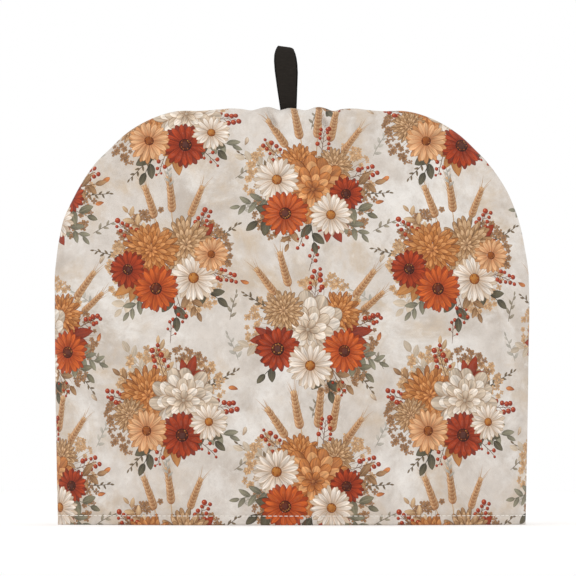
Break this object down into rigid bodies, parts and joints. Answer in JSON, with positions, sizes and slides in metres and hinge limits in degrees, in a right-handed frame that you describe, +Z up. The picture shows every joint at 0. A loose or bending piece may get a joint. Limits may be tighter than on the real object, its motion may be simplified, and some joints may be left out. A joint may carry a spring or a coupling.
{
  "type": "tea cosy",
  "caption": "Padded arch-shaped tea cosy in printed cotton, hollow and open at the hem, with a black tape loop standing in the top seam.",
  "frame": {"origin": "middle of the open hem, on the surface that the cosy stands on", "axes": "+Z up, X across the arch along the seam, the printed front panel faces -Y"},
  "size_m": [0.3289, 0.104, 0.3321],
  "materials": {
    "printed_cotton": "matte printed plain-weave cotton over wadding",
    "black_tape": "matte woven tape"
  },
  "bodies": {
    "root": {"front_panel": "printed_cotton", "back_panel": "printed_cotton", "hanging_loop": "black_tape"}
  },
  "joints": []
}
